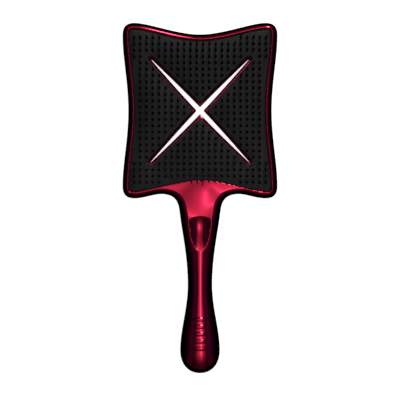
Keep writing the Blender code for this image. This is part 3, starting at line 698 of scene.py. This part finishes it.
def zincPlatedSteel():
    # steel, zinc-plated bright: grey metal with faint cloudy patches, about 1.1 mm wide
    material, tree, shader = newMaterial("zincPlatedSteel")
    place = {"Vector": addNode(tree, "ShaderNodeTexCoord").outputs["Object"]}
    cloud = addNode(tree, "ShaderNodeTexNoise", {"Scale": 1 / (1.1 * mm), "Detail": 4.0}, place)
    stops = ((0.3, "#b8bbc0"), (0.7, "#d5d8dc"))
    tint = addNode(tree, "ShaderNodeValToRGB", links={"Fac": cloud.outputs["Fac"]}, stops=stops)
    spans = {"To Min": 0.25, "To Max": 0.45}
    rough = addNode(tree, "ShaderNodeMapRange", spans, {"Value": cloud.outputs["Fac"]})
    tree.links.new(tint.outputs["Color"], shader.inputs["Base Color"])
    tree.links.new(rough.outputs["Result"], shader.inputs["Roughness"])
    shader.inputs["Metallic"].default_value = 1.0
    return material


redPlate = metallisedAbs()
padNylon = mouldedNylon("mouldedNylonPad", "#1c1c1f", "#242427")
# the bristles are the same nylon as the pad, coloured darker: painted shade among the bristles
bristleNylonPaintedShade = mouldedNylon("mouldedNylonBristlesPaintedShade", "#0c0c0d", "#141415")
foamStuff = closedCellFoam()
screwSteel = zincPlatedSteel()
print("materials made")


# Pieces.


def makeFrontShell():
    sheet = Sheet()
    outer = [sheet.row(outerPoints(s)) for s in sections]
    inner = [sheet.row(innerPoints(s)) for s in sections]
    sheet.skin(outer)
    sheet.skin(inner)
    sheet.skin([[i[-1], o[0]] for i, o in zip(inner, outer)])
    sheet.skin([[o[-1], i[0]] for i, o in zip(inner[firstRing:], outer[firstRing:])])
    sheet.mirror()
    piece = sheet.finish("frontShell", redPlate, sharp=0)
    soften(piece)
    return piece


def makeBackShell():
    # outer and inner skins, open over the land; then the land is filled in, round the vent's slot
    sheet = Sheet()
    firstWide = max(i for i, s in enumerate(sections) if s[1].y < neckY + rise["gap"])
    rims = []
    for wall in (0, rise["wall"]):
        rows = [sheet.row(backPoints(s, wall)) for s in sections]
        sheet.skin(rows[: firstWide + 1])
        sheet.skin([r[: len(turns)] for r in rows[firstWide:]])
        rims.append([r[0] for r in rows])
    sheet.skin([list(pair) for pair in zip(*rims)])
    sheet.mirror()
    draft = sheet.finish("backDraft", redPlate, sharp=0)
    soften(draft)
    settle(draft)
    sheet = Sheet(draft.data)
    bpy.data.objects.remove(draft)
    slots = []
    for wall in (0, rise["wall"]):
        level = [e for e in sheet.bm.edges if abs(e.verts[0].co.z / mm - wall) < 0.1]
        slot = sheet.row([(p.x, p.y, wall) for p in ventLoop(vent["wall"] + rise["gap"])])
        sheet.fill(slot, rim=[e for e in level if e.is_boundary])
        slots.append(slot + slot[:1])
    sheet.skin(slots)
    return sheet.finish("backShell", redPlate, sharp=40)


def makeVentSleeve():
    low, high = lowSleeve.z, highSleeve.z
    foot = rise["wall"] + rise["gap"]
    ledge = foot + vent["flangeThickness"]
    wall, wide = vent["wall"], vent["wall"] + vent["flange"]
    nose, brim = vent["nose"], high - vent["flare"]
    profile = [(0, low), (0, brim - nose), (nose * 0.3, brim - nose * 0.3), (nose, brim)]
    profile += [(wall - nose, high - nose * 0.3), (wall - nose * 0.4, high), (wall, high - nose * 0.8)]
    profile += [(wall, ledge), (wide, ledge), (wide, foot), (wall, foot), (wall, low), (0, low)]
    sheet = Sheet()
    ringRows(sheet, ventLoop, profile)
    return sheet.finish("ventSleeve", redPlate, sharp=50)


pad = {
    "tuck": 1.3,  # how far the flange reaches out under the lip
    "clearance": 0.4,
    "round": 0.4,
}


def makePad():
    sheet = Sheet()
    base, tuck, bend = lowPad.z, pad["tuck"], pad["round"]

    def edge(start, way):
        # the rounded top edge, from the wall at start
        lean = bend * 0.3
        return [(start, padFace - bend), (start + way * lean, padFace - lean), (start + way * bend, padFace)]

    profile = [(tuck, base), (tuck, padStepZ), (-pad["clearance"], padStepZ)]
    outside = ringRows(sheet, openingLoop, profile + edge(-pad["clearance"], -1))
    clear = vent["wall"] + vent["clearance"]
    inside = ringRows(sheet, ventLoop, [(clear, base)] + edge(clear, 1))
    sheet.fill(outside[0], inside[0])
    sheet.fill(outside[-1], inside[-1])
    return sheet.finish("bristlePad", padNylon, sharp=35)


bristle = {
    "pitch": 4.375,
    "rows": 30,
    "columns": 26,
    "edge": 2.0,  # clear of the pad's edge
    "root": 0.75,
    "tip": 0.42,
    "long": 14.0,
    "short": 11.0,
    "sides": 8,
    "fillet": ((0.45, -0.15), (0.3, 0.05), (0.08, 0.25), (0.0, 0.7)),  # past the root's radius, height
    "ball": ((0.05, 1.0), (0.0, 0.45), (-0.126, 0.12)),  # past the tip's radius, depth below the top
}


def isClear(place, loop, distance, inside):
    crossings, nearest = 0, 1e9
    for a, b in zip(loop, loop[1:] + loop[:1]):
        t = max(0.0, min(1.0, (place - a).dot(b - a) / (b - a).length_squared))
        nearest = min(nearest, (place - a.lerp(b, t)).length)
        if (a.y > place.y) != (b.y > place.y):
            crossings += place.x < a.x + (place.y - a.y) / (b.y - a.y) * (b.x - a.x)
    return crossings % 2 == inside and nearest > distance


def bristlePlaces():
    around, slot = openingLoop(-pad["clearance"]), ventLoop(vent["wall"] + vent["clearance"])
    rows, columns = bristle["rows"] // 2, bristle["columns"] // 2
    places = []
    for row in range(-rows, rows):
        for column in range(-columns, columns):
            place = headMiddle + Vector((column + 0.5, row + 0.5)) * bristle["pitch"]
            offSlot = isClear(place, slot, 2 * bristle["root"], 0)
            if offSlot and isClear(place, around, bristle["edge"], 1):
                places.append((place, bristle["long" if (row + column) % 2 else "short"]))
    return places


def makeBristles():
    # each is a taper with a small fillet at its root and a ball tip
    sheet = Sheet()
    root, tip, sides = bristle["root"], bristle["tip"], bristle["sides"]
    for place, length in bristlePlaces():
        profile = [(root + wide, z) for wide, z in bristle["fillet"]]
        profile += [(tip + wide, length - deep) for wide, deep in bristle["ball"]]
        rows = []
        for radius, z in profile:
            around = [place + heading(360 * i / sides) * radius for i in range(sides)]
            ring = [(p.x, p.y, padFace + z) for p in around]
            rows.append(sheet.row(ring + ring[:1]))
        sheet.skin(rows)
        sheet.bm.faces.new(rows[0][:-1])
        peak = sheet.point((place.x, place.y, padFace + length))
        for a, b in zip(rows[-1], rows[-1][1:]):
            sheet.bm.faces.new((a, b, peak))
    return sheet.finish("padBristles", bristleNylonPaintedShade, sharp=60)


foam = {
    "scale": 0.93,
    "round": 0.8,
    "screwInset": 12.5,
    "corner": 9.0,  # radius of the cut round each screw's boss
    "overcut": 2.0,
}


def makeFoam():
    sheet = Sheet()
    low, high = lowFoam.z, highFoam.z

    def around(inset):
        # the opening's outline, drawn in, and nowhere past the back shell's flat land
        half = [(Vector((0, openingY)) - headMiddle) * foam["scale"]]
        for _, side, _, _, edge in sections[firstRing + 1 :]:
            drawn, land = (edge - headMiddle) * foam["scale"], (side - headMiddle) * rise["landScale"]
            half.append(min(drawn, land, key=lambda p: p.length))
        half[-1].x = 0
        return [headMiddle + p * (1 - inset / highFoam.x) for p in wholeLoop(half)]

    bend = foam["round"]
    profile = [(bend, low), (0, low + bend), (0, high - bend)]
    profile += [(bend * 0.3, high - bend * 0.3), (bend, high)]
    rows = ringRows(sheet, around, profile)
    for row in (rows[0], rows[-1]):
        sheet.bm.faces.new(row)
    piece = sheet.finish("foamCushion", foamStuff, sharp=50)
    below, above = low - foam["overcut"], high + foam["overcut"]
    slot = ventLoop(vent["wall"] + vent["flange"] + vent["clearance"])
    cuts = [prism("foamVent", slot, below, above)]
    inset = foam["screwInset"] - foam["corner"] / 4
    for x in (inset - halfWidth, halfWidth - inset):
        for y in (baseY + inset, topY - inset):
            ring = [Vector((x, y)) + heading(a) * foam["corner"] for a in range(0, 360, 15)]
            cuts.append(prism(f"foamCorner{len(cuts)}", ring, below, above))
    for cut in cuts:
        cutAway(piece, cut)
    settle(piece, *cuts)
    return piece


def addPieces():
    front = makeFrontShell()
    print("front shell made")
    back = makeBackShell()
    print("back shell made")
    sleeve = makeVentSleeve()
    print("vent sleeve made")
    for piece, node in ((front, "front_shell"), (back, "back_shell"), (sleeve, "vent_sleeve")):
        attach(piece, "brush_body")
        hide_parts(node)
    pad, bristles = makePad(), makeBristles()
    print("pad and bristles made")
    for piece in (pad, bristles):
        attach(piece, "sprung_pad")
    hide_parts("bristle_pad")
    cushion = makeFoam()
    print("foam made")
    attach(cushion, "brush_body")
    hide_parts("foam_cushion")
    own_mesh(cushion)
    for name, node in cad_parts.items():
        if name.startswith("shell_screw"):
            node.data.materials.clear()
            node.data.materials.append(screwSteel)


addPieces()


# The stage: a white floor, soft glows overhead, and a dark room all round.

stage = {
    "cameraHeight": 755.0,
    "lens": 96.0,
    "cameraY": -1.8,
    "floorSize": 12000.0,
    "floorDrop": 0.2,
    "glows": [  # soft boxes: where each hangs (x, y of its direction), its half widths, strength, tint
        ((0.05, 0.04), (0.27, 0.52), 1.0, "#ffffff"),
        ((0.0, 0.0), (0.60, 1.20), 0.04, "#ffffff"),
        ((0.09, -0.02), (0.08, 0.35), 0.6, "#ffffff"),
        ((0.11, -0.02), (0.03, 0.30), 2.0, "#ffffff"),
        ((0.75, 0.0), (0.16, 1.2), 0.15, "#9a60ff"),
        ((-0.70, 0.0), (0.16, 1.2), 0.14, "#9a60ff"),
        ((0.15, 0.74), (0.05, 0.06), 45.0, "#ffffff"),
    ],
}


def addFloor():
    bpy.ops.mesh.primitive_plane_add(size=stage["floorSize"] * mm, location=(0, 0, -stage["floorDrop"] * mm))
    floor = bpy.context.object
    floor.name = "floor"
    # paper, uncoated and matt, lit through so that it stays white
    material, _, shader = newMaterial("palePaper")
    shader.inputs["Base Color"].default_value = colour("#f4f4f4")
    shader.inputs["Roughness"].default_value = 0.9
    shader.inputs["Emission Color"].default_value = (1, 1, 1, 1)
    shader.inputs["Emission Strength"].default_value = 0.92
    floor.data.materials.append(material)
    floor.visible_glossy = False  # the red mirror sees a dark room, not the floor


def addWorld():
    world = bpy.data.worlds.new("studio")
    world.use_nodes = True
    tree = world.node_tree
    tree.nodes.clear()
    way = addNode(tree, "ShaderNodeTexCoord").outputs["Generated"]
    total = None
    for (x, y), (wide, tall), strength, tint in stage["glows"]:
        off = addNode(tree, "ShaderNodeVectorMath", {"operation": "SUBTRACT"}, {0: way})
        off.inputs[1].default_value = (x, y, 0)
        scaled = addNode(tree, "ShaderNodeVectorMath", {"operation": "MULTIPLY"}, {0: off.outputs[0]})
        scaled.inputs[1].default_value = (1 / wide, 1 / tall, 0)
        square = addNode(tree, "ShaderNodeVectorMath", {"operation": "DOT_PRODUCT"}, {0: scaled.outputs[0]})
        tree.links.new(scaled.outputs[0], square.inputs[1])
        away = {0: square.outputs["Value"]}
        fall = addNode(tree, "ShaderNodeMath", {"operation": "MULTIPLY", 1: -1.0}, away)
        bell = addNode(tree, "ShaderNodeMath", {"operation": "EXPONENT"}, {0: fall.outputs[0]})
        glow = addNode(tree, "ShaderNodeVectorMath", {"operation": "SCALE"}, {"Scale": bell.outputs[0]})
        glow.inputs[0].default_value = [strength * c for c in colour(tint)[:3]]
        if total:
            pair = {0: total, 1: glow.outputs[0]}
            glow = addNode(tree, "ShaderNodeVectorMath", {"operation": "ADD"}, pair)
        total = glow.outputs[0]
    height = addNode(tree, "ShaderNodeSeparateXYZ", links={"Vector": way}).outputs["Z"]
    above = addNode(tree, "ShaderNodeMath", {"operation": "GREATER_THAN", 1: 0.0}, {0: height})
    dark = addNode(tree, "ShaderNodeBackground", links={"Color": total, "Strength": above.outputs[0]})
    pale = addNode(tree, "ShaderNodeBackground", {"Color": (1, 1, 1, 1), "Strength": 1.0})
    seen = addNode(tree, "ShaderNodeLightPath").outputs["Is Camera Ray"]
    mix = addNode(tree, "ShaderNodeMixShader", links={"Fac": seen})
    tree.links.new(dark.outputs["Background"], mix.inputs[1])
    tree.links.new(pale.outputs["Background"], mix.inputs[2])
    addNode(tree, "ShaderNodeOutputWorld", links={"Surface": mix.outputs["Shader"]})
    bpy.context.scene.world = world


def addCamera():
    camera = bpy.data.objects.new("camera", bpy.data.cameras.new("camera"))
    camera.location = (0, stage["cameraY"] * mm, stage["cameraHeight"] * mm)
    camera.data.lens = stage["lens"]
    camera.data.sensor_width = 36
    camera.data.clip_start = 0.01
    bpy.context.scene.collection.objects.link(camera)
    bpy.context.scene.camera = camera


addFloor()
addWorld()
addCamera()
bpy.context.scene.view_settings.view_transform = "Standard"
print("stage set")
